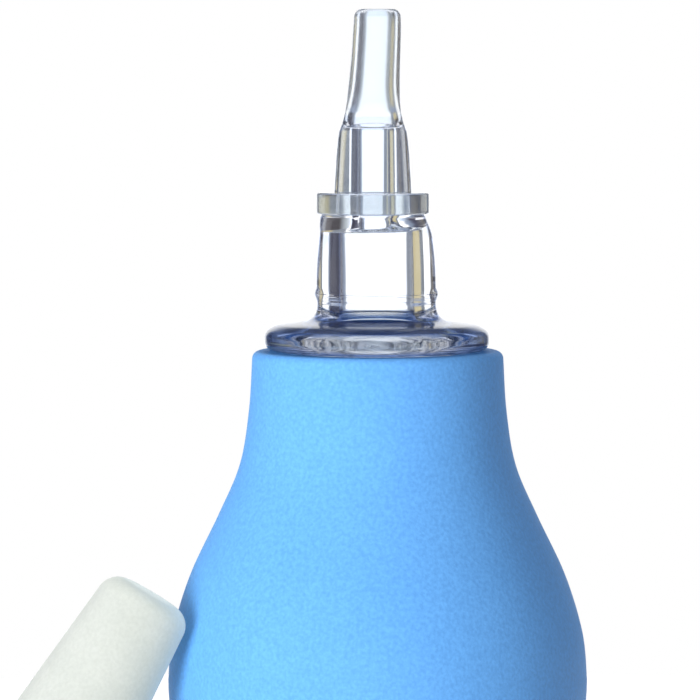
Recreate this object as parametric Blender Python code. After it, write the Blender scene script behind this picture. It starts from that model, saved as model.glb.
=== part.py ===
"""Bulb nasal aspirator: squeeze bulb, clear collector, soft nozzle tip, seal ring and a loose cap.

Units are metres, +Z is up, and the origin is the centre of the bulb's flat base. Outlines are
written in millimetres as (radius, height above the base) and turned about the vertical axis.
"""
import math

import bmesh
import bpy

MM = 0.001
FIT_GAP = 0.3            # clearance left between touching pieces

# squeeze bulb
BULB_RADIUS = 25.0
BULB_EQUATOR = 25.0      # height of the widest section
BULB_DEPTH = 27.5        # half height of the ellipse below the equator, cut flat at the base
BULB_TOP = 64.2
BULB_WALL = 2.2
NECK_RADIUS = 14.95
NECK_BORE = 11.7
NECK_BORE_END = 52.0     # height where the neck bore opens into the bulb

# collector
FLANGE_SEAT = BULB_TOP + FIT_GAP
FLANGE_RADIUS = 13.42
FLANGE_SHOULDER = 65.75  # height of the centre of the flange's upper rounding
CHAMBER_RADIUS = 7.14
CHAMBER_BORE = 4.42
CHAMBER_ROOF = 78.4
CHAMBER_TOP = 80.5
BEAD_RADIUS = 7.36
BEAD_HEIGHT = 71.1
BEAD_HALF = 0.6          # half the height of the bead
PLUG_END = 50.4
PLUG_RADIUS = 10.9
PLUG_BORE = 9.1
RIB_HEIGHTS = (53.2, 56.8, 60.4)
RIB_REACH = 0.5
SPIGOT_TOP = 90.6
SPIGOT_BASE_RADIUS = 2.95
SPIGOT_TOP_RADIUS = 2.6
AIRWAY_RADIUS = 1.9

# nozzle tip
TIP_SEAT = CHAMBER_TOP + FIT_GAP
TIP_TOP = 104.8
TIP_BASE_RADIUS = 4.62
TIP_BORE = 1.65
TIP_CROWN = 1.05         # height of the rounded end
POCKET_TOP = SPIGOT_TOP + FIT_GAP

# seal ring
RING_RADIUS = 6.72
RING_HEIGHT = 2.3
RING_EDGE = 0.3

# cap, in its own frame: height 0 is the open rim
CAP_LENGTH = 37.3
CAP_MOUTH_RADIUS = 8.76
CAP_END_RADIUS = 5.73
CAP_CORNER = 2.6
CAP_WALL = 1.05
CAP_LEAN = math.radians(31.0)
CAP_TURN = math.radians(5.6)
CAP_MOUTH_X = -45.6
CAP_MOUTH_Y = -12.45


def clear_scene():
    for obj in list(bpy.data.objects):
        bpy.data.objects.remove(obj, do_unlink=True)


def arc(centre, radius, start, end, steps):
    """Points of an arc in the (radius, height) plane; angles in degrees from the outward direction."""
    points = []
    for i in range(steps + 1):
        angle = math.radians(start + (end - start) * i / steps)
        points.append((centre[0] + radius * math.cos(angle), centre[1] + radius * math.sin(angle)))
    return points


def smooth(stations, steps):
    """A Catmull-Rom curve through the stations, with the given number of steps between two of them."""
    ends = [stations[0]] + list(stations) + [stations[-1]]
    points = []
    for a, b, c, d in zip(ends, ends[1:], ends[2:], ends[3:]):
        for i in range(steps):
            t = i / steps
            points.append(tuple(
                0.5 * (2 * q + (r - p) * t + (2 * p - 5 * q + 4 * r - s) * t * t
                       + (3 * q - p - 3 * r + s) * t ** 3)
                for p, q, r, s in zip(a, b, c, d)))
    points.append(stations[-1])
    return points


def plain_material(name, color, roughness, alpha=1.0):
    material = bpy.data.materials.new(name)
    material.use_nodes = True
    shader = material.node_tree.nodes["Principled BSDF"]
    shader.inputs["Base Color"].default_value = (*color, 1.0)
    shader.inputs["Roughness"].default_value = roughness
    shader.inputs["Metallic"].default_value = 0.0
    shader.inputs["Alpha"].default_value = alpha
    return material


def turned(name, outline, sides, seat, material):
    """Turn an outline in millimetres about the vertical axis; the origin is on it, at height seat.

    An outline that starts and ends on the axis is open; any other outline is closed into a loop.
    """
    mesh = bpy.data.meshes.new(name)
    bm = bmesh.new()
    verts = [bm.verts.new((r * MM, 0.0, (z - seat) * MM)) for r, z in outline]
    edges = [bm.edges.new(pair) for pair in zip(verts, verts[1:])]
    if outline[0][0] > 0.0:
        edges.append(bm.edges.new((verts[-1], verts[0])))
    bmesh.ops.spin(bm, geom=verts + edges, cent=(0, 0, 0), axis=(0, 0, 1),
                   angle=2 * math.pi, steps=sides, use_merge=True)
    bmesh.ops.remove_doubles(bm, verts=bm.verts, dist=1e-7)
    bmesh.ops.recalc_face_normals(bm, faces=bm.faces)
    bm.to_mesh(mesh)
    bm.free()
    mesh.shade_smooth()
    mesh.set_sharp_from_angle(angle=math.radians(35))
    mesh.materials.append(material)
    obj = bpy.data.objects.new(name, mesh)
    obj.location = (0.0, 0.0, seat * MM)
    bpy.context.collection.objects.link(obj)
    return obj


def lower_bowl(radius, depth, floor, steps):
    """Quarter ellipse from its cut at height floor up to just below the equator."""
    start = math.asin((BULB_EQUATOR - floor) / depth)
    points = []
    for i in range(steps):
        angle = start * (1 - i / steps)
        points.append((radius * math.cos(angle), BULB_EQUATOR - depth * math.sin(angle)))
    return points


def make_bulb():
    """Hollow pear-shaped bulb, one moulding, open at the neck."""
    rim = 0.8
    outer = [(0.0, 0.0)] + lower_bowl(BULB_RADIUS, BULB_DEPTH, 0.0, 7)
    outer += smooth([(BULB_RADIUS, BULB_EQUATOR), (24.45, 30.6), (22.35, 37.5), (19.0, 44.6),
                     (16.45, 50.6), (15.35, 57.0), (NECK_RADIUS, BULB_TOP - rim)], 2)
    outer += arc((NECK_RADIUS - rim, BULB_TOP - rim), rim, 30, 90, 2)
    inside = BULB_RADIUS - BULB_WALL
    inner = [(0.0, BULB_WALL)] + lower_bowl(inside, BULB_DEPTH - BULB_WALL, BULB_WALL, 6)
    inner += smooth([(inside, BULB_EQUATOR), (22.2, 30.6), (20.0, 37.5), (16.6, 44.6),
                     (12.9, 49.9), (NECK_BORE, NECK_BORE_END)], 2)
    inner.append((NECK_BORE, BULB_TOP))
    rubber = plain_material("bulb_rubber", (0.17, 0.50, 0.88), 0.6)
    return turned("squeeze_bulb", outer + inner[::-1], 36, 0.0, rubber)


def make_collector():
    """Clear moulding: ribbed plug in the neck, flange, chamber with a bead, and the tip's spigot."""
    edge_low, edge_high = 1.2, 1.35
    outline = [(PLUG_BORE, PLUG_END), (PLUG_RADIUS - 0.5, PLUG_END), (PLUG_RADIUS, PLUG_END + 1.2)]
    for height in RIB_HEIGHTS:
        outline += [(PLUG_RADIUS, height - 0.7), (PLUG_RADIUS + RIB_REACH, height),
                    (PLUG_RADIUS, height + 0.2)]
    outline.append((PLUG_RADIUS, FLANGE_SEAT))
    outline += arc((FLANGE_RADIUS - edge_low, FLANGE_SEAT + edge_low), edge_low, -90, -15, 3)
    outline += arc((FLANGE_RADIUS - edge_high, FLANGE_SHOULDER), edge_high, 10, 58, 3)
    outline += [(12.3, 67.15), (10.6, 67.55), (8.3, 67.9), (7.42, 68.5), (7.1, 69.7),
                (CHAMBER_RADIUS, BEAD_HEIGHT - BEAD_HALF), (BEAD_RADIUS - 0.06, BEAD_HEIGHT - BEAD_HALF / 2),
                (BEAD_RADIUS, BEAD_HEIGHT), (BEAD_RADIUS - 0.06, BEAD_HEIGHT + BEAD_HALF / 2),
                (CHAMBER_RADIUS + 0.02, BEAD_HEIGHT + BEAD_HALF), (CHAMBER_RADIUS - 0.06, 74.4),
                (6.87, 76.8), (6.68, 78.3), (6.5, 79.3), (6.25, CHAMBER_TOP - 0.25),
                (6.0, CHAMBER_TOP), (SPIGOT_BASE_RADIUS, CHAMBER_TOP),
                (SPIGOT_TOP_RADIUS, SPIGOT_TOP - 0.3), (SPIGOT_TOP_RADIUS - 0.3, SPIGOT_TOP),
                (AIRWAY_RADIUS - 0.05, SPIGOT_TOP), (AIRWAY_RADIUS, CHAMBER_TOP),
                (AIRWAY_RADIUS + 0.1, 79.0), (AIRWAY_RADIUS + 0.45, CHAMBER_ROOF),
                (CHAMBER_BORE - 0.2, CHAMBER_ROOF), (CHAMBER_BORE, CHAMBER_ROOF - 0.2),
                (CHAMBER_BORE + 0.08, 68.2), (5.0, 66.8), (6.2, 65.5), (8.2, 64.2),
                (PLUG_BORE, 62.6)]
    clear = plain_material("clear_plastic", (0.86, 0.91, 0.96), 0.08, 0.35)
    return turned("collector", outline, 32, FLANGE_SEAT, clear)


def make_tip():
    """Soft tip: a sleeve that fits over the spigot and runs up into the round-ended nostril tube."""
    pocket_base = SPIGOT_BASE_RADIUS + FIT_GAP
    pocket_top = SPIGOT_TOP_RADIUS + FIT_GAP
    crown_centre, crown_reach = 1.95, 0.84
    outline = [(pocket_base, TIP_SEAT), (TIP_BASE_RADIUS, TIP_SEAT), (TIP_BASE_RADIUS, 83.3),
               (4.45, 86.2), (4.24, 88.8), (4.05, 90.2), (3.84, 90.85), (3.48, 92.0), (3.28, 93.0),
               (3.11, 94.8), (2.93, 98.6), (2.84, 102.4)]
    for angle in (5, 30, 55, 78, 90):
        outline.append((crown_centre + crown_reach * math.cos(math.radians(angle)),
                        TIP_TOP - TIP_CROWN + TIP_CROWN * math.sin(math.radians(angle))))
    outline += [(TIP_BORE, TIP_TOP - 0.25), (TIP_BORE, 103.0), (1.75, 96.2), (2.05, 93.6),
                (2.45, 92.2), (2.6, POCKET_TOP), (pocket_top, POCKET_TOP)]
    soft = plain_material("soft_clear", (0.88, 0.93, 0.97), 0.12, 0.4)
    return turned("nozzle_tip", outline, 24, TIP_SEAT, soft)


def make_ring():
    """Milky silicone ring that grips the foot of the tip and seals inside the cap."""
    bore = TIP_BASE_RADIUS + FIT_GAP
    low, high = TIP_SEAT, TIP_SEAT + RING_HEIGHT
    outline = [(bore, low), (RING_RADIUS - RING_EDGE, low), (RING_RADIUS, low + RING_EDGE),
               (RING_RADIUS, high - RING_EDGE), (RING_RADIUS - RING_EDGE, high), (bore, high)]
    milky = plain_material("milky_silicone", (0.72, 0.78, 0.84), 0.35, 0.6)
    return turned("seal_ring", outline, 32, TIP_SEAT, milky)


def make_cap():
    """Tapered cup, standing on its open rim's edge and leaning towards the bulb."""
    top = CAP_LENGTH
    inner_corner = CAP_CORNER - CAP_WALL
    outer = [(0.0, top)] + arc((CAP_END_RADIUS - CAP_CORNER, top - CAP_CORNER), CAP_CORNER, 90, 0, 4)
    outer.append((CAP_MOUTH_RADIUS, 0.0))
    inner = [(0.0, top - CAP_WALL)]
    inner += arc((CAP_END_RADIUS - CAP_CORNER, top - CAP_CORNER), inner_corner, 90, 0, 2)
    inner.append((CAP_MOUTH_RADIUS - CAP_WALL, 0.0))
    shell = plain_material("cap_plastic", (0.80, 0.85, 0.84), 0.45)
    cap = turned("cap", outer + inner[::-1], 32, 0.0, shell)
    lift = CAP_MOUTH_RADIUS * math.sin(CAP_LEAN)
    cap.location = (CAP_MOUTH_X * MM, CAP_MOUTH_Y * MM, lift * MM)
    cap.rotation_euler = (0.0, CAP_LEAN, CAP_TURN)
    return cap


clear_scene()
make_bulb()
make_collector()
make_tip()
make_ring()
make_cap()
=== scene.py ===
import math

import bpy
from mathutils import Matrix, Vector


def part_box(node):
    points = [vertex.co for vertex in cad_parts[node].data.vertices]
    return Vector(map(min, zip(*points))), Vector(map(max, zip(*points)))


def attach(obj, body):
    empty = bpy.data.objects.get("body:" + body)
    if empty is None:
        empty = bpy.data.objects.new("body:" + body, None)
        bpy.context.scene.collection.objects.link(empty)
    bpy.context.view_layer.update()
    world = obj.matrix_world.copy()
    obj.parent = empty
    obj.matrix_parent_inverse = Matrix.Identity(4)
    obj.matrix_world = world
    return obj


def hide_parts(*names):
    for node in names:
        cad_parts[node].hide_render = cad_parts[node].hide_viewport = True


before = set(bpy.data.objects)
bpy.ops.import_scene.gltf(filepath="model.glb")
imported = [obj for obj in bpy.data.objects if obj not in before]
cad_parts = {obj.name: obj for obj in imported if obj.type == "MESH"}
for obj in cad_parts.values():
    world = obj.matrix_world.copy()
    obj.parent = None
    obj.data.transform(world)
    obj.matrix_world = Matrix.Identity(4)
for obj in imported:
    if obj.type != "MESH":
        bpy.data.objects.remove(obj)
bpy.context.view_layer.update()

MM = 0.001


# ---------------------------------------------------------------- sizes taken from the frame

def heights(node):
    """Lowest and highest point of a CAD node, in millimetres."""
    low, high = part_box(node)
    return low.z / MM, high.z / MM


BULB_TOP = heights("squeeze_bulb")[1]
BULB_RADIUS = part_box("squeeze_bulb")[1].x / MM
PLUG_END, SPIGOT_TOP = heights("collector")
FLANGE_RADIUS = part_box("collector")[1].x / MM
TIP_SEAT, TIP_TOP = heights("nozzle_tip")
RING_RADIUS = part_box("seal_ring")[1].x / MM
RING_TOP = heights("seal_ring")[1]
CAD_GAP = 0.3                       # clearance that the CAD solids keep between touching pieces
CHAMBER_TOP = TIP_SEAT - CAD_GAP
PRESS = 0.012                       # soft pieces bite this far into what they are pushed over

# squeeze bulb
BULB_EQUATOR = 25.0                 # height of the widest section
BULB_DEPTH = 27.5                   # half height of the ellipse below the equator, cut flat at the base
BULB_WALL = 2.2
NECK_RADIUS = 14.95
NECK_RIM = 0.9                      # rounding of the neck's outer rim
NECK_BORE = 11.7
NECK_BORE_END = 52.0                # height where the neck bore opens into the bulb

# collector
PLUG_RADIUS = 11.2
PLUG_BORE = 9.1
RIB_HEIGHTS = (53.2, 56.8, 60.4)
RIB_REACH = 0.45
FLANGE_SEAT = BULB_TOP + 0.05
FLANGE_EDGE_LOW = 1.2               # rounding of the flange's lower edge
FLANGE_EDGE_HIGH = 1.35             # and of its upper edge
FLANGE_SHOULDER = 65.75             # height of the centre of the upper rounding
CHAMBER_RADIUS = 7.14
CHAMBER_BORE = 4.42
CHAMBER_ROOF = 78.4
BEAD_HEIGHT = 71.1                  # of the two side lugs, and of the fine line between them
BEAD_HALF = 0.75
LUG_REACH = 0.2
LUG_SPREAD = 0.75                   # sine of the angle at which a lug ends, from its middle
SPIGOT_BASE = 2.95
SPIGOT_END = 2.62
SPIGOT_RIM = 0.25
AIRWAY = 1.9

# nozzle tip and seal ring
TIP_FOOT = 4.62
TIP_BORE = 1.65
TIP_CROWN = (0.84, 1.05)            # reach and height of the rounded end
TIP_CROWN_CENTRE = 1.95
RING_EDGE = 0.3

# cap, in its own frame: height 0 is the open rim
CAP_LENGTH = 37.3
CAP_MOUTH = 8.76
CAP_END = 5.73
CAP_CORNER = 2.6
CAP_WALL = 1.05
CAP_LEAN = math.radians(31.0)
CAP_TURN = math.radians(5.6)

TURN_STEPS = 160
SHARP_EDGE = math.radians(40.0)

# where a material changes from one look to the next, in metres
NECK_SHADE_BAND = (0.0118, 0.0121)      # radius just outside the neck bore; inside it the rubber gets a painted navy shade
SEAT_EDGE = (0.0116, 0.0122)        # radius where the flange's flat seat turns up
SEAT_FACE = (0.0644, 0.0648)        # heights, from here on
FLANGE_TOP = (0.0682, 0.0694)
FILLET_TOP = (0.0690, 0.0706)
TUBE_FOOT = (0.0905, 0.094)
CAP_GLOW_BAND = (0.0146, 0.0170)      # distance along the cap's axis over which the painted glow grows towards the closed end


# ---------------------------------------------------------------- outlines and turned meshes

def arc(centre, radius, start, end, steps):
    """Points of an arc in the (radius, height) plane; angles in degrees from the outward direction."""
    points = []
    for i in range(steps + 1):
        angle = math.radians(start + (end - start) * i / steps)
        points.append((centre[0] + radius * math.cos(angle), centre[1] + radius * math.sin(angle)))
    return points


def smooth(stations, steps):
    """A Catmull-Rom curve through the stations, with the given number of steps between two of them."""
    ends = [stations[0]] + list(stations) + [stations[-1]]
    points = []
    for a, b, c, d in zip(ends, ends[1:], ends[2:], ends[3:]):
        for i in range(steps):
            t = i / steps
            points.append(tuple(
                0.5 * (2 * q + (r - p) * t + (2 * p - 5 * q + 4 * r - s) * t * t
                       + (3 * q - p - 3 * r + s) * t ** 3)
                for p, q, r, s in zip(a, b, c, d)))
    points.append(stations[-1])
    return points


def turned(name, outline, material, bend=None, swell=None):
    """Turn an outline in millimetres about the vertical axis. One that starts on the axis stays open.

    bend(height) moves a whole section sideways, and swell(angle, radius, height) adds to its radius.
    """
    closed = outline[0][0] > 0.0
    verts, rings = [], []
    for r, z in outline:
        if r <= 0.0:
            rings.append([len(verts)] * TURN_STEPS)
            verts.append(Vector((0.0, 0.0, z * MM)))
            continue
        rings.append(list(range(len(verts), len(verts) + TURN_STEPS)))
        for i in range(TURN_STEPS):
            angle = 2 * math.pi * i / TURN_STEPS
            reach = r + (swell(angle, r, z) if swell else 0.0)
            verts.append(Vector((reach * math.cos(angle), reach * math.sin(angle), z)) * MM)
    if bend:
        for v in verts:
            v.x += bend(v.z / MM) * MM
    faces = []
    pairs = list(zip(rings, rings[1:]))
    if closed:
        pairs.append((rings[-1], rings[0]))
    for low, high in pairs:
        for i in range(TURN_STEPS):
            j = (i + 1) % TURN_STEPS
            corners = []
            for index in (low[i], low[j], high[j], high[i]):
                if index not in corners:
                    corners.append(index)
            faces.append(corners)
    mesh = bpy.data.meshes.new(name)
    mesh.from_pydata(verts, [], faces)
    mesh.validate()
    mesh.shade_smooth()
    mesh.set_sharp_from_angle(angle=SHARP_EDGE)
    mesh.materials.append(material)
    obj = bpy.data.objects.new(name, mesh)
    bpy.context.collection.objects.link(obj)
    return obj


# ---------------------------------------------------------------- materials

PLASTIC_IOR = 1.5                   # the same for all clear pieces, so that none shows inside another
GRAIN_SCALE = 2300.0


def new_material(name):
    material = bpy.data.materials.new(name)
    material.use_nodes = True
    tree = material.node_tree
    return material, tree, tree.nodes["Principled BSDF"]


def noise(tree, scale, detail):
    """Noise in the object's own space; returns its strength, 0 to 1."""
    coords = tree.nodes.new("ShaderNodeTexCoord")
    texture = tree.nodes.new("ShaderNodeTexNoise")
    texture.inputs["Scale"].default_value = scale
    texture.inputs["Detail"].default_value = detail
    tree.links.new(coords.outputs["Object"], texture.inputs["Vector"])
    return texture.outputs["Fac"]


def ramp(tree, source, stops):
    """A colour ramp; each stop is a position and a colour."""
    node = tree.nodes.new("ShaderNodeValToRGB")
    elements = node.color_ramp.elements
    while len(elements) > 1:
        elements.remove(elements[-1])
    elements[0].position, elements[0].color = stops[0][0], (*stops[0][1], 1.0)
    for position, color in stops[1:]:
        elements.new(position).color = (*color, 1.0)
    tree.links.new(source, node.inputs["Fac"])
    return node.outputs["Color"]


def grey_ramp(tree, source, first, last, low=0.3, high=0.7):
    """A ramp of two greys, by default over the middle of a noise's range."""
    return ramp(tree, source, [(low, (first, first, first)), (high, (last, last, last))])


def bump(tree, source, strength, distance, shader):
    node = tree.nodes.new("ShaderNodeBump")
    node.inputs["Strength"].default_value = strength
    node.inputs["Distance"].default_value = distance
    tree.links.new(source, node.inputs["Height"])
    tree.links.new(node.outputs["Normal"], shader.inputs["Normal"])


def band_mask(tree, source, band):
    """0 below the band's first value, 1 above its second."""
    span = tree.nodes.new("ShaderNodeMapRange")
    span.inputs["From Min"].default_value, span.inputs["From Max"].default_value = band
    tree.links.new(source, span.inputs["Value"])
    return span.outputs["Result"]


def radius_mask(tree, band):
    """A mask by the distance from the object's vertical axis."""
    coords = tree.nodes.new("ShaderNodeTexCoord")
    flat = tree.nodes.new("ShaderNodeVectorMath")
    flat.operation = "MULTIPLY"
    flat.inputs[1].default_value = (1.0, 1.0, 0.0)
    tree.links.new(coords.outputs["Object"], flat.inputs[0])
    length = tree.nodes.new("ShaderNodeVectorMath")
    length.operation = "LENGTH"
    tree.links.new(flat.outputs["Vector"], length.inputs[0])
    return band_mask(tree, length.outputs["Value"], band)


def axis_mask(tree, axis, band):
    """A mask by the distance along an axis through the object's origin."""
    coords = tree.nodes.new("ShaderNodeTexCoord")
    along = tree.nodes.new("ShaderNodeVectorMath")
    along.operation = "DOT_PRODUCT"
    along.inputs[1].default_value = axis
    tree.links.new(coords.outputs["Object"], along.inputs[0])
    return band_mask(tree, along.outputs["Value"], band)


def height_mask(tree, band):
    return axis_mask(tree, (0.0, 0.0, 1.0), band)


def mix_color(tree, factor, first, second, blend="MIX"):
    """Mix two colours; each is a socket or a plain colour."""
    node = tree.nodes.new("ShaderNodeMix")
    node.data_type = "RGBA"
    node.blend_type = blend
    ends = [socket for socket in node.inputs if socket.type == "RGBA"]
    for value, socket in ((factor, node.inputs[0]), (first, ends[0]), (second, ends[1])):
        if isinstance(value, bpy.types.NodeSocket):
            tree.links.new(value, socket)
        elif isinstance(value, float):
            socket.default_value = value
        else:
            socket.default_value = (*value, 1.0)
    return [socket for socket in node.outputs if socket.type == "RGBA"][0]


def rubber_material():
    """Matt blue moulded rubber: fine grain, slight cloudiness in the colour, and a painted navy shade
    inside the neck bore.
    """
    material, tree, shader = new_material("bulb_rubber")
    cloud = noise(tree, 70.0, 3.0)
    tint = ramp(tree, cloud, [(0.3, (0.144, 0.455, 0.955)), (0.7, (0.155, 0.475, 0.985))])
    grain = noise(tree, GRAIN_SCALE, 3.0)
    speck = ramp(tree, grain, [(0.3, (0.80, 0.82, 0.84)), (0.7, (1.03, 1.02, 1.0))])
    skin = mix_color(tree, 1.0, tint, speck, "MULTIPLY")
    # Painted shade: deep navy on the inside of the neck bore, where little light reaches.
    outside = radius_mask(tree, NECK_SHADE_BAND)
    tree.links.new(mix_color(tree, outside, (0.05, 0.12, 0.50), skin), shader.inputs["Base Color"])
    tree.links.new(grey_ramp(tree, grain, 0.55, 0.68), shader.inputs["Roughness"])
    shader.inputs["Specular IOR Level"].default_value = 0.3
    bump(tree, grain, 0.6, 0.00006, shader)
    return material


def clear_material(name, color, edge_shade_color):
    """Polished clear moulding: faint flow waviness, and a painted darker tone where it is seen edge-on,
    standing in for dark surroundings seen at its edges.

    Returns the material, its tree and shader, how edge-on it is seen, its tone with the painted edge
    shade, and its roughness.
    """
    material, tree, shader = new_material(name)
    edge = tree.nodes.new("ShaderNodeLayerWeight")
    edge.inputs["Blend"].default_value = 0.5
    facing = edge.outputs["Facing"]
    # Painted shade: the colour darkens towards the parts seen edge-on.
    edge_shaded_tone = ramp(tree, facing, [(0.6, color), (0.8, edge_shade_color)])
    wave = noise(tree, 260.0, 1.0)
    polish = grey_ramp(tree, wave, 0.015, 0.035)
    shader.inputs["Transmission Weight"].default_value = 1.0
    shader.inputs["IOR"].default_value = PLASTIC_IOR
    bump(tree, wave, 0.12, 0.00008, shader)
    return material, tree, shader, facing, edge_shaded_tone, polish


def collector_material():
    """Clear plastic with a painted navy shade in the thick flange, standing in for the shaded blue neck
    seen through it, apart from the flange's flat seat.
    """
    # Painted shade: dark blue where the chamber is seen edge-on.
    material, tree, shader, facing, edge_shaded_tone, polish = clear_material(
        "clear_plastic", (0.93, 0.95, 0.985), (0.09, 0.16, 0.41))
    untinted = (0.97, 1.0, 1.0)
    # Painted shade: navy over the flange, deeper where it is seen edge-on, for the dark blue neck seen
    # through it.
    painted_navy_shade = ramp(tree, facing, [(0.12, untinted), (0.42, (0.12, 0.21, 0.54)), (0.6, (0.05, 0.105, 0.36))])
    over_flange = height_mask(tree, FLANGE_TOP)
    body = mix_color(tree, over_flange, painted_navy_shade, edge_shaded_tone)
    seat = mix_color(tree, radius_mask(tree, SEAT_EDGE), untinted, body)
    tree.links.new(mix_color(tree, height_mask(tree, SEAT_FACE), seat, body), shader.inputs["Base Color"])
    tree.links.new(mix_color(tree, over_flange, (0.10, 0.10, 0.10), polish), shader.inputs["Roughness"])
    # Painted reflection colour: reflections are tinted deep blue up to the fillet and faintly blue above
    # it.
    over_fillet = height_mask(tree, FILLET_TOP)
    tree.links.new(mix_color(tree, over_fillet, (0.15, 0.45, 1.0), (0.85, 0.88, 1.0)),
                   shader.inputs["Specular Tint"])
    return material


def tip_material():
    """Soft clear plastic, with a faintly frosted and slightly milky nostril tube, and a painted darker
    tone where it is seen edge-on.
    """
    # Painted shade: grey-blue towards the parts seen edge-on.
    material, tree, shader, _, edge_shaded_tone, polish = clear_material(
        "soft_clear", (0.95, 0.97, 0.99), (0.50, 0.54, 0.62))
    tube = height_mask(tree, TUBE_FOOT)
    tree.links.new(mix_color(tree, tube, polish, (0.16, 0.16, 0.16)), shader.inputs["Roughness"])
    cool = ramp(tree, tube, [(0.0, (1.0, 1.0, 1.0)), (1.0, (0.95, 0.98, 1.0))])
    tree.links.new(mix_color(tree, 1.0, edge_shaded_tone, cool, "MULTIPLY"), shader.inputs["Base Color"])
    tree.links.new(grey_ramp(tree, tube, 1.0, 0.93, 0.0, 1.0), shader.inputs["Transmission Weight"])
    return material


def milky_material():
    """Slightly milky, nearly clear silicone."""
    material, tree, shader = new_material("milky_silicone")
    cloud = noise(tree, 700.0, 3.0)
    tint = ramp(tree, cloud, [(0.3, (0.86, 0.90, 0.92)), (0.7, (0.94, 0.96, 0.97))])
    tree.links.new(tint, shader.inputs["Base Color"])
    tree.links.new(grey_ramp(tree, cloud, 0.02, 0.06), shader.inputs["Roughness"])
    shader.inputs["Transmission Weight"].default_value = 0.97
    shader.inputs["IOR"].default_value = PLASTIC_IOR
    bump(tree, cloud, 0.2, 0.00005, shader)
    return material


def cap_material():
    """Whitish, slightly translucent polypropylene with a fine matt texture, and a painted glow standing
    in for light through its thin wall, stronger at its closed end.
    """
    material, tree, shader = new_material("cap_plastic")
    cloud = noise(tree, 160.0, 4.0)
    tint = ramp(tree, cloud, [(0.3, (0.39, 0.395, 0.385)), (0.7, (0.44, 0.44, 0.43))])
    grain = noise(tree, GRAIN_SCALE, 2.0)
    speck = grey_ramp(tree, grain, 0.88, 1.0)
    tree.links.new(mix_color(tree, 1.0, tint, speck, "MULTIPLY"), shader.inputs["Base Color"])
    tree.links.new(grey_ramp(tree, grain, 0.40, 0.50), shader.inputs["Roughness"])
    shader.inputs["Specular IOR Level"].default_value = 0.1
    shader.inputs["Subsurface Weight"].default_value = 1.0
    shader.inputs["Subsurface Radius"].default_value = (1.0, 1.0, 0.9)
    shader.inputs["Subsurface Scale"].default_value = 0.005
    # Painted light: the whole cap glows faintly, more towards the closed end, which the key light leaves
    # darker.
    end = axis_mask(tree, cap_turn() @ Vector((0.0, 0.0, 1.0)), CAP_GLOW_BAND)
    painted_glow = mix_color(tree, end, (0.232, 0.27, 0.238), (0.345, 0.385, 0.325))
    tree.links.new(painted_glow, shader.inputs["Emission Color"])
    shader.inputs["Emission Strength"].default_value = 1.0
    bump(tree, grain, 0.3, 0.00005, shader)
    return material


# ---------------------------------------------------------------- pieces

def lean(z):
    """Sideways offset, in millimetres, of the slightly crooked nozzle at a height."""
    stops = ((BULB_TOP, -0.08), (68.0, -0.12), (74.0, -0.2), (77.8, -0.22), (80.45, -0.58), (91.0, -0.58),
             (TIP_TOP, -0.04))
    if z <= stops[0][0]:
        return stops[0][1]
    for (z0, x0), (z1, x1) in zip(stops, stops[1:]):
        if z <= z1:
            t = (z - z0) / (z1 - z0)
            return x0 + (x1 - x0) * t * t * (3 - 2 * t)
    return stops[-1][1]


def lower_bowl(radius, depth, floor, steps):
    """Quarter ellipse from its cut at height floor up to just below the equator."""
    start = math.asin((BULB_EQUATOR - floor) / depth)
    points = []
    for i in range(steps):
        angle = start * (1 - i / steps)
        points.append((radius * math.cos(angle), BULB_EQUATOR - depth * math.sin(angle)))
    return points


def make_bulb():
    """Hollow pear-shaped skin, open at the neck."""
    foot = lower_bowl(BULB_RADIUS, BULB_DEPTH, 0.0, 24)
    outer = [(0.0, 0.0), (foot[0][0] - 0.8, 0.0), (foot[0][0] - 0.1, 0.12)] + foot[1:]
    outer += smooth([(BULB_RADIUS, BULB_EQUATOR), (24.45, 30.6), (22.35, 37.5), (19.0, 44.6),
                     (16.45, 50.6), (15.35, 57.0), (NECK_RADIUS, BULB_TOP - NECK_RIM)], 8)
    outer += arc((NECK_RADIUS - NECK_RIM, BULB_TOP - NECK_RIM), NECK_RIM, 10, 90, 8)
    inside = BULB_RADIUS - BULB_WALL
    inner = [(0.0, BULB_WALL)] + lower_bowl(inside, BULB_DEPTH - BULB_WALL, BULB_WALL, 16)
    inner += smooth([(inside, BULB_EQUATOR), (22.2, 30.6), (20.0, 37.5), (16.6, 44.6),
                     (12.9, 49.9), (NECK_BORE, NECK_BORE_END)], 5)
    inner += arc((NECK_BORE + 0.3, BULB_TOP - 0.3), 0.3, 180, 90, 3)
    return turned("bulb_skin", outer + inner[::-1], rubber_material())


def hump(x, reach):
    """1 where x is 0, falling smoothly to 0 at the reach."""
    return max(0.0, 1.0 - (x / reach) ** 2) ** 2


def lugs(angle, r, z):
    """Two small moulded lugs, left and right, on the outside of the chamber."""
    if r < CHAMBER_RADIUS - 0.3:
        return 0.0
    return LUG_REACH * hump(z - BEAD_HEIGHT, BEAD_HALF) * hump(math.sin(angle), LUG_SPREAD)


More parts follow.
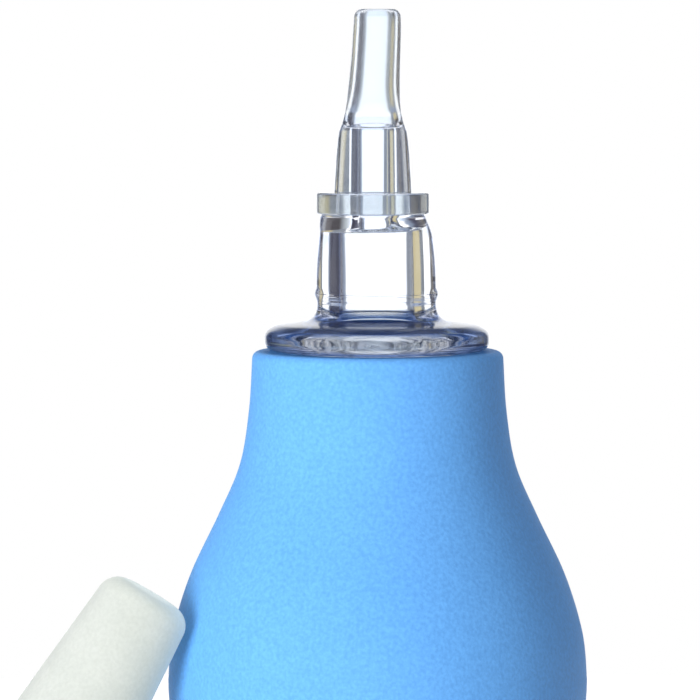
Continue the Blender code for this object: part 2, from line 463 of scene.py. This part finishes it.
def make_collector():
    """Clear moulding: ribbed plug, flange, chamber with its lugs and fine line, and the hollow spigot."""
    outline = [(PLUG_BORE, PLUG_END), (PLUG_RADIUS - 0.6, PLUG_END), (PLUG_RADIUS, PLUG_END + 1.0)]
    for height in RIB_HEIGHTS:
        outline += [(PLUG_RADIUS, height - 0.7), (PLUG_RADIUS + RIB_REACH, height),
                    (PLUG_RADIUS, height + 0.2)]
    outline.append((PLUG_RADIUS, FLANGE_SEAT))
    outline += arc((FLANGE_RADIUS - FLANGE_EDGE_LOW, FLANGE_SEAT + FLANGE_EDGE_LOW), FLANGE_EDGE_LOW,
                   -90, 0, 10)
    outline += arc((FLANGE_RADIUS - FLANGE_EDGE_HIGH, FLANGE_SHOULDER), FLANGE_EDGE_HIGH, 4, 58, 8)
    outline += smooth([(12.3, 67.15), (11.7, 67.36), (10.6, 67.55), (9.3, 67.72), (8.3, 67.9),
                       (7.75, 68.12), (7.42, 68.5), (7.2, 69.0), (7.08, 69.7), (CHAMBER_RADIUS, 70.3)], 4)
    # fine line across the front: a ledge that runs out slowly below and ends sharply above
    ledge = 0.04
    step = BEAD_HALF / 10
    outline += [(CHAMBER_RADIUS + ledge, BEAD_HEIGHT - BEAD_HALF + step * i) for i in range(10)]
    outline += [(CHAMBER_RADIUS + ledge + 0.01, BEAD_HEIGHT - 0.02), (CHAMBER_RADIUS, BEAD_HEIGHT + 0.02)]
    outline += [(CHAMBER_RADIUS, BEAD_HEIGHT + step * i) for i in range(1, 11)]
    outline += smooth([(CHAMBER_RADIUS, 72.2), (7.08, 74.4), (6.87, 76.8), (6.68, 78.3), (6.5, 79.3),
                       (6.25, CHAMBER_TOP - 0.25)], 6)
    outline += [(6.0, CHAMBER_TOP), (SPIGOT_BASE, CHAMBER_TOP), (SPIGOT_END, SPIGOT_TOP - SPIGOT_RIM)]
    outline += arc((SPIGOT_END - SPIGOT_RIM, SPIGOT_TOP - SPIGOT_RIM), SPIGOT_RIM, 20, 90, 4)
    outline.append((AIRWAY - 0.05, SPIGOT_TOP))
    outline += smooth([(AIRWAY, CHAMBER_TOP), (1.91, 79.5), (1.98, 79.0), (2.15, 78.6),
                       (2.35, CHAMBER_ROOF)], 6)
    corner = 0.15
    outline += arc((CHAMBER_BORE - corner, CHAMBER_ROOF - corner), corner, 90, 0, 4)
    outline += smooth([(CHAMBER_BORE + 0.08, 68.2), (4.85, 67.0), (5.8, 65.8), (7.4, 64.9), (8.6, 63.9),
                       (PLUG_BORE, 62.4)], 6)
    return turned("clear_collector", outline, collector_material(), bend=lean, swell=lugs)


def make_tip():
    """Soft sleeve pressed over the spigot, running up into the round-ended nostril tube."""
    seat = CHAMBER_TOP - PRESS
    outline = [(SPIGOT_BASE - PRESS, seat)]
    outline += smooth([(TIP_FOOT, seat), (TIP_FOOT, 83.3), (4.45, 86.2), (4.24, 88.8), (4.05, 90.2),
                       (3.84, 90.85), (3.66, 91.3), (3.48, 92.0), (3.28, 93.0), (3.11, 94.8),
                       (2.93, 98.6), (2.84, 102.4), (2.79, TIP_TOP - 1.3)], 6)
    reach, rise = TIP_CROWN
    steps = 14
    for i in range(steps + 1):
        angle = math.radians(3 + 87 * i / steps)
        outline.append((TIP_CROWN_CENTRE + reach * math.cos(angle),
                        TIP_TOP - rise + rise * math.sin(angle)))
    mouth = 0.3
    outline += arc((TIP_BORE + mouth, TIP_TOP - mouth), mouth, 90, 180, 5)
    outline += smooth([(TIP_BORE, 103.0), (1.75, 96.2), (2.05, 93.6), (2.45, 92.2),
                       (2.6, SPIGOT_TOP + 0.1)], 6)
    outline += [(SPIGOT_END - PRESS - 0.1, SPIGOT_TOP - PRESS),
                (SPIGOT_END - PRESS, SPIGOT_TOP - SPIGOT_RIM)]
    return turned("soft_tip", outline, tip_material(), bend=lean)


def make_ring():
    """Ring that grips the foot of the tip."""
    low, high = CHAMBER_TOP + 0.02, RING_TOP
    bore = TIP_FOOT - PRESS
    outline = [(bore, low)]
    outline += arc((RING_RADIUS - RING_EDGE, low + RING_EDGE), RING_EDGE, -90, 0, 5)
    outline += arc((RING_RADIUS - RING_EDGE, high - RING_EDGE), RING_EDGE, 0, 90, 5)
    outline.append((bore, high))
    return turned("milky_ring", outline, milky_material(), bend=lean)


def cap_turn():
    """How the cap is turned from upright: leaning towards the bulb, and a little away from the camera."""
    return Matrix.Rotation(CAP_TURN, 4, "Z") @ Matrix.Rotation(CAP_LEAN, 4, "Y")


def seat_in_box(obj, turn, node):
    """Turn a piece's mesh, and move it so that its box has the same centre as the CAD node's box."""
    obj.data.transform(turn)
    low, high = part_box(node)
    corners = [v.co for v in obj.data.vertices]
    least = [min(c[i] for c in corners) for i in range(3)]
    most = [max(c[i] for c in corners) for i in range(3)]
    shift = (low + high) / 2 - (Vector(least) + Vector(most)) / 2
    shift.z = low.z - least[2]
    obj.data.transform(Matrix.Translation(shift))


def make_cap():
    """Tapered cup, standing on its open rim's edge and leaning towards the bulb."""
    top = CAP_LENGTH
    outer = [(0.0, top)] + arc((CAP_END - CAP_CORNER, top - CAP_CORNER), CAP_CORNER, 90, 6, 12)
    outer += [(CAP_END + 0.04, top - CAP_CORNER - 0.5), (CAP_MOUTH, 0.3)]
    outer += [(CAP_MOUTH - 0.1, 0.05), (CAP_MOUTH - 0.3, 0.0)]
    inner = [(0.0, top - CAP_WALL)]
    inner += arc((CAP_END - CAP_CORNER, top - CAP_CORNER), CAP_CORNER - CAP_WALL, 90, 0, 8)
    inner += [(CAP_END - CAP_WALL + 0.1, top - CAP_CORNER - 1.0), (CAP_MOUTH - CAP_WALL, 0.2)]
    inner += [(CAP_MOUTH - CAP_WALL + 0.2, 0.0)]
    cap = turned("cap_shell", outer + inner[::-1], cap_material())
    seat_in_box(cap, cap_turn(), "cap")
    return cap


# ---------------------------------------------------------------- studio

CAMERA_DISTANCE = 0.60
CAMERA_HEIGHT = 0.103
VIEW_CENTRE = (-0.0033, 0.0643)
VIEW_WIDTH = 0.0833
KEY_PLACE = (-0.393, -0.583, 0.09)
KEY_AIM = (0.0, 0.0, 0.05)
KEY_SIZE = 0.3
KEY_WATTS = 5.3
FILL_LIGHT = (0.43, 0.41, 0.44)
CLEAR_BOUNCES = 32                  # enough to pass through all the walls of the clear pieces


def make_camera():
    data = bpy.data.cameras.new("camera")
    data.sensor_width = 36.0
    camera = bpy.data.objects.new("camera", data)
    bpy.context.collection.objects.link(camera)
    camera.location = (VIEW_CENTRE[0], -CAMERA_DISTANCE, CAMERA_HEIGHT)
    aim = Vector((VIEW_CENTRE[0], 0.0, VIEW_CENTRE[1]))
    reach = (aim - camera.location).length
    data.lens = data.sensor_width * reach / VIEW_WIDTH
    camera.rotation_euler = (aim - camera.location).to_track_quat("-Z", "Y").to_euler()
    bpy.context.scene.camera = camera


def make_floor():
    """Round pale floor that takes shadows. The matt pieces get no light from it."""
    size = 0.2
    steps = 96
    verts = [(0.0, 0.0, 0.0)]
    verts += [(size * math.cos(2 * math.pi * i / steps), size * math.sin(2 * math.pi * i / steps), 0.0)
              for i in range(steps)]
    faces = [(0, i + 1, (i + 1) % steps + 1) for i in range(steps)]
    mesh = bpy.data.meshes.new("floor")
    mesh.from_pydata(verts, [], faces)
    material, _, shader = new_material("floor_paint")
    shader.inputs["Base Color"].default_value = (0.86, 0.86, 0.86, 1.0)
    shader.inputs["Roughness"].default_value = 0.9
    shader.inputs["Emission Color"].default_value = (1.0, 1.0, 1.0, 1.0)
    shader.inputs["Emission Strength"].default_value = 0.7
    mesh.materials.append(material)
    floor = bpy.data.objects.new("floor", mesh)
    bpy.context.collection.objects.link(floor)
    floor.visible_diffuse = False


def direction_angles(tree):
    """Turn about the vertical, 0 to 1 with 0.5 straight behind the object, and rise, 0 to 1."""
    coords = tree.nodes.new("ShaderNodeTexCoord")
    parts = tree.nodes.new("ShaderNodeSeparateXYZ")
    tree.links.new(coords.outputs["Generated"], parts.inputs["Vector"])
    angle = tree.nodes.new("ShaderNodeMath")
    angle.operation = "ARCTAN2"
    tree.links.new(parts.outputs["X"], angle.inputs[0])
    tree.links.new(parts.outputs["Y"], angle.inputs[1])
    turn = tree.nodes.new("ShaderNodeMath")
    turn.operation = "MULTIPLY_ADD"
    turn.inputs[1].default_value = 0.5 / math.pi
    turn.inputs[2].default_value = 0.5
    tree.links.new(angle.outputs[0], turn.inputs[0])
    rise = tree.nodes.new("ShaderNodeMath")
    rise.operation = "MULTIPLY_ADD"
    rise.inputs[1].default_value = 0.5
    rise.inputs[2].default_value = 0.5
    tree.links.new(parts.outputs["Z"], rise.inputs[0])
    return turn.outputs[0], rise.outputs[0]


def azimuth_ramp(tree, turn, stops):
    """A ramp by direction: degrees to the right of straight behind the object, and a colour."""
    return ramp(tree, turn, [((degrees + 180) / 360, color) for degrees, color in stops])


def make_world():
    """Light tent: white cards behind and in front, a dusky card on the left, a warm one on the right.

    The clear pieces see the cards, the matt ones are filled by a soft even light, and the camera sees
    a white backdrop.
    """
    world = bpy.data.worlds.new("studio")
    bpy.context.scene.world = world
    world.cycles.sampling_method = "NONE"
    world.use_nodes = True
    tree = world.node_tree
    background = tree.nodes["Background"]
    turn, rise = direction_angles(tree)
    white = (1.5, 1.5, 1.5)
    bright = (1.15, 1.22, 1.38)
    pale = (0.60, 0.63, 0.69)
    grey = (0.50, 0.53, 0.58)
    slate = (0.27, 0.32, 0.42)
    stone = (0.25, 0.27, 0.30)
    straw = (0.66, 0.57, 0.33)
    plum = (0.10, 0.10, 0.14)
    dusk = (0.05, 0.047, 0.07)
    night = (0.04, 0.035, 0.06)
    umber = (0.06, 0.05, 0.05)
    cards = azimuth_ramp(tree, turn, [
        (-180, pale), (-150, pale), (-142, grey), (-128, grey), (-120, pale), (-84, pale), (-80, plum),
        (-62, dusk), (-36, dusk), (-31, plum), (-26, slate), (-23, slate), (-20, white), (20, white),
        (23, stone), (36, stone), (41, straw), (66, straw), (70, plum), (80, plum), (84, pale),
        (120, pale), (128, grey), (142, grey), (150, pale)])
    table = azimuth_ramp(tree, turn, [
        (-180, white), (-84, white), (-78, plum), (-60, plum), (-52, night), (-30, night),
        (-22, (0.60, 0.70, 0.85)), (-17, bright), (17, bright), (22, (0.55, 0.60, 0.62)), (30, umber),
        (52, umber), (60, stone), (78, stone), (84, white)])
    overhead = ramp(tree, rise, [(0.80, (0.30, 0.36, 0.50)), (0.92, (0.95, 0.98, 1.05))])
    below = grey_ramp(tree, rise, 1.0, 0.0, 0.43, 0.461)
    above = grey_ramp(tree, rise, 0.0, 1.0, 0.62, 0.72)
    around = mix_color(tree, below, cards, table)
    seen = mix_color(tree, above, around, overhead)
    path = tree.nodes.new("ShaderNodeLightPath")
    filled = mix_color(tree, path.outputs["Is Diffuse Ray"], seen, FILL_LIGHT)
    result = mix_color(tree, path.outputs["Is Camera Ray"], filled, (1.0, 1.0, 1.0))
    tree.links.new(result, background.inputs["Color"])


def make_key_light():
    """One soft square light from the front left, unseen in the clear pieces."""
    data = bpy.data.lights.new("key", "AREA")
    data.shape = "RECTANGLE"
    data.size = data.size_y = KEY_SIZE
    data.energy = KEY_WATTS
    light = bpy.data.objects.new("key", data)
    bpy.context.collection.objects.link(light)
    light.visible_glossy = False
    light.visible_transmission = False
    light.location = KEY_PLACE
    light.rotation_euler = (Vector(KEY_AIM) - Vector(KEY_PLACE)).to_track_quat("-Z", "Y").to_euler()


make_camera()
make_floor()
make_world()
make_key_light()

for piece, body, node, slot in (
        (make_bulb(), "bulb", "squeeze_bulb", "bulb_rubber"),
        (make_collector(), "collector", "collector", "clear_plastic"),
        (make_tip(), "tip", "nozzle_tip", "soft_clear"),
        (make_ring(), "ring", "seal_ring", "milky_silicone"),
        (make_cap(), "cap", "cap", "cap_plastic")):
    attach(piece, body)
    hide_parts(node)

bpy.context.scene.view_settings.view_transform = "Standard"
bpy.context.scene.cycles.max_bounces = CLEAR_BOUNCES
bpy.context.scene.cycles.transmission_bounces = CLEAR_BOUNCES
bpy.context.scene.cycles.glossy_bounces = CLEAR_BOUNCES
